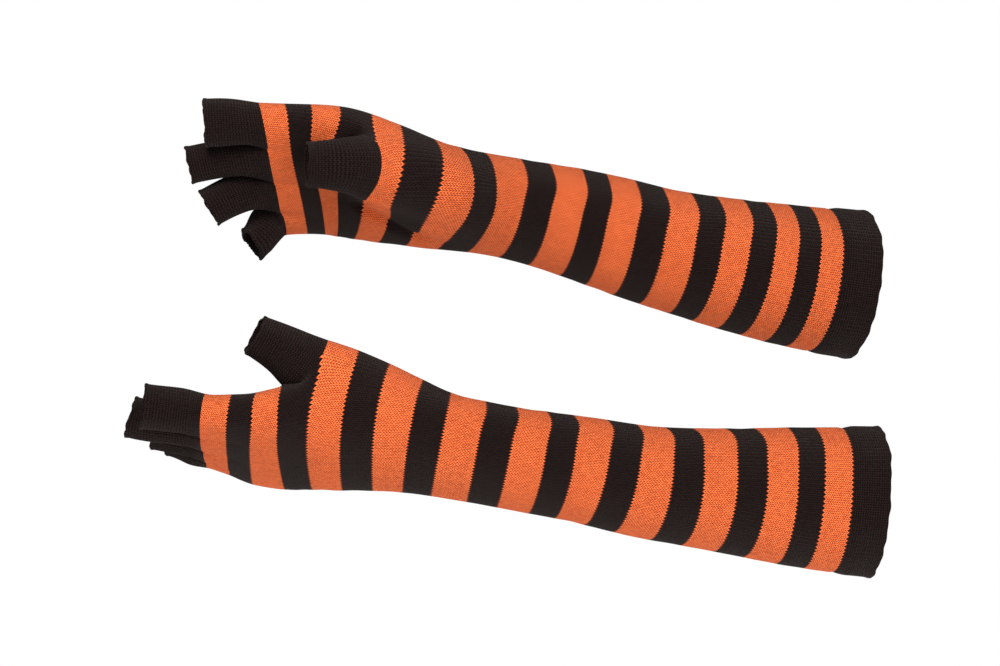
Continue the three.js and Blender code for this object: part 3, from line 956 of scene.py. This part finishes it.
def noise(nodes, scale, detail):
    """Noise over the piece's own space, in metres."""
    place = nodes.add("ShaderNodeTexCoord").outputs["Object"]
    texture = nodes.add("ShaderNodeTexNoise")
    texture.inputs["Scale"].default_value = scale
    texture.inputs["Detail"].default_value = detail
    nodes.feed(texture.inputs["Vector"], place)
    return texture.outputs[0]


def yarn(nodes, height, tone):
    """(shade, relief): the share of the lit colour, and the height with its fibres."""
    fibres = noise(nodes, FIBRE_SCALE, FIBRE_DETAIL)
    patches = noise(nodes, PATCH_SCALE, PATCH_DETAIL)
    uneven = nodes.math("ADD", nodes.math("MULTIPLY", tone, 0.9),
                        nodes.math("MULTIPLY", patches, 0.25))
    uneven = nodes.math("ADD", nodes.math("MULTIPLY", fibres, 0.35), uneven)
    shade = nodes.math("MULTIPLY", nodes.math("POWER", height, 1.8),
                       nodes.math("ADD", 0.62, uneven))
    relief = nodes.math("ADD", height, nodes.math("MULTIPLY", fibres, 0.25))
    return shade, relief


def stripes_material():
    """Orange and black plain knit, which changes colour at whole courses."""
    nodes = Nodes("striped_knit")
    wale, course = stitch_coordinates(nodes)
    height, row, tone = v_stitch(nodes, wale, course, STRIPES_LEAN)
    in_repeat = nodes.math("FLOORED_MODULO", row, REPEAT_ROWS)
    is_black = nodes.math("GREATER_THAN", in_repeat, ORANGE_ROWS - 0.5)
    shade, relief = yarn(nodes, height, tone)
    orange = nodes.mix(shade, ORANGE_DEEP, ORANGE)
    black = nodes.mix(shade, BLACK_DEEP, BLACK)
    return knit_shader(nodes, nodes.mix(is_black, orange, black), relief, STRIPES_BUMP)


def rib_material():
    """Black knit for the cuffs and tubes; the ribs of the tubes are in their meshes."""
    nodes = Nodes("ribbed_black_knit")
    wale, course = stitch_coordinates(nodes)
    height, _, tone = v_stitch(nodes, wale, course, RIB_LEAN)
    shade, relief = yarn(nodes, height, tone)
    return knit_shader(nodes, nodes.mix(shade, BLACK_DEEP, BLACK), relief, RIB_BUMP)


# ---- stage ----

CAMERA_DISTANCE = 1.6      # from the camera to the wrists, in metres
VIEW_WIDTH = 0.52          # what the frame's width covers at the wrists
CAMERA_AIM = (-0.1986, -0.1164, -0.0268)
FLOOR_RADIUS, FLOOR_LEVEL, FLOOR_CORNERS = 1.1, -0.34, 96
FLOOR_GLOW = 0.55          # light that the floor sends back up, as a bright studio's does
FLOOR_GREYS = (0.86, 0.86, 0.87, 1), (0.9, 0.9, 0.9, 1)
SURROUNDINGS = 0.3         # strength of the light from all round
LAMP_AIM = (-0.2, -0.1, 0)
LAMP_SIZE = 0.9
# Place and power, in watts, of each lamp.
KEY_LAMP = (-0.45, -1.25, 0.95), 31
FILL_LAMP = (0.7, -1.2, 0.2), 7


def build_camera():
    """A level camera that looks along +Y at the middle of the pair."""
    data = bpy.data.cameras.new("camera")
    data.sensor_width = 36
    data.lens = data.sensor_width * CAMERA_DISTANCE / VIEW_WIDTH
    data.clip_end = 50
    camera = bpy.data.objects.new("camera", data)
    x, y, z = CAMERA_AIM
    camera.location = (x, y - CAMERA_DISTANCE, z)
    camera.rotation_euler = (math.pi / 2, 0, 0)
    bpy.context.scene.collection.objects.link(camera)
    bpy.context.scene.camera = camera


def build_floor():
    """A round pale floor, below the pair, which floats as it does on the arms."""
    x, y, _ = CAMERA_AIM
    points = [(x, y, FLOOR_LEVEL)]
    for k in range(FLOOR_CORNERS):
        turn = 2 * math.pi * k / FLOOR_CORNERS
        points.append((x + FLOOR_RADIUS * math.cos(turn),
                       y + FLOOR_RADIUS * math.sin(turn), FLOOR_LEVEL))
    faces = [(0, 1 + k, 1 + (k + 1) % FLOOR_CORNERS) for k in range(FLOOR_CORNERS)]
    mesh = bpy.data.meshes.new("floor")
    mesh.from_pydata(points, [], faces)
    nodes = Nodes("pale_floor")
    shader = nodes.add("ShaderNodeBsdfPrincipled")
    mottle = nodes.add("ShaderNodeTexNoise")
    mottle.inputs["Scale"].default_value = 3
    nodes.feed(shader.inputs["Base Color"], nodes.mix(mottle.outputs[0], *FLOOR_GREYS))
    shader.inputs["Roughness"].default_value = 0.9
    shader.inputs["Emission Color"].default_value = (1, 1, 1, 1)
    shader.inputs["Emission Strength"].default_value = FLOOR_GLOW
    output = nodes.add("ShaderNodeOutputMaterial")
    nodes.feed(output.inputs["Surface"], shader.outputs[0])
    mesh.materials.append(nodes.material)
    floor = bpy.data.objects.new("floor", mesh)
    bpy.context.scene.collection.objects.link(floor)


def area_light(name, location, power):
    """A round lamp that faces the middle of the pair."""
    data = bpy.data.lights.new(name, "AREA")
    data.shape = "DISK"
    data.size = LAMP_SIZE
    data.energy = power
    light = bpy.data.objects.new(name, data)
    light.location = location
    direction = np.array(LAMP_AIM) - np.array(location)
    light.rotation_euler = Vector(direction).to_track_quat("-Z", "Y").to_euler()
    bpy.context.scene.collection.objects.link(light)


def build_light():
    """White surroundings that light softly, and two large lamps above and before the pair."""
    world = bpy.data.worlds.new("studio")
    bpy.context.scene.world = world
    world.use_nodes = True
    tree = world.node_tree
    tree.nodes.clear()
    path = tree.nodes.new("ShaderNodeLightPath")
    seen, lit = (tree.nodes.new("ShaderNodeBackground") for _ in range(2))
    seen.inputs["Color"].default_value = (1, 1, 1, 1)
    lit.inputs["Color"].default_value = (1, 1, 1, 1)
    lit.inputs["Strength"].default_value = SURROUNDINGS
    choose = tree.nodes.new("ShaderNodeMixShader")
    output = tree.nodes.new("ShaderNodeOutputWorld")
    tree.links.new(path.outputs["Is Camera Ray"], choose.inputs[0])
    tree.links.new(lit.outputs[0], choose.inputs[1])
    tree.links.new(seen.outputs[0], choose.inputs[2])
    tree.links.new(choose.outputs[0], output.inputs["Surface"])
    area_light("key_lamp", *KEY_LAMP)
    area_light("fill_lamp", *FILL_LAMP)
    bpy.context.scene.view_settings.view_transform = "Standard"


# ---- the pieces in the frame ----

WRIST_PLACE = 110.0        # distance of the wrist from the knuckles, in millimetres
THUMB_BLEND = 14           # distance from the thumb's base to the point taken as its tip, in millimetres


def main():
    build_camera()
    build_floor()
    build_light()
    materials = {"stripes": stripes_material(), "rib": rib_material()}
    gloves = {
        "right": (RIGHT_ARM, RIGHT_BANDS, RIGHT_THUMB, RIGHT_FINGERS, 1, RIGHT_CREASE, (3.5, 16)),
        "left": (LEFT_ARM, LEFT_BANDS, LEFT_THUMB, LEFT_FINGERS, -1, None, (-3.5, 12)),
    }
    for side_name, glove in gloves.items():
        made, arm, thumb = build_glove(side_name, glove, materials)
        attach(side_name, made, arm, thumb)


def attach(side, made, arm, thumb):
    """Hides the CAD nodes that the pieces stand for; the cuff rides on the frame's forearm, the
    other pieces stay in place.
    """
    bands = [f"{side}_orange_band_{k}" for k in range(1, 12)]
    bands += [f"{side}_black_band_{k}" for k in range(1, 11)]
    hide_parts(*bands)
    along = arm.along(np.array(WRIST_PLACE))
    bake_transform(made["body"])
    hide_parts(f"{side}_elbow_cuff")
    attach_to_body(made["cuff"], f"{side}_forearm")
    for name in FINGER_NAMES:
        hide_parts(f"{side}_{name}_tube")
        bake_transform(made[name])
    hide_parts(f"{side}_thumb_tube", f"{side}_thumb_gusset")
    root = thumb.station_distance(GUSSET_STATION, THUMB_STATIONS)
    base, tip = thumb.centre(root) * MM, thumb.centre(root - THUMB_BLEND) * MM
    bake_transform(made["thumb"])


main()
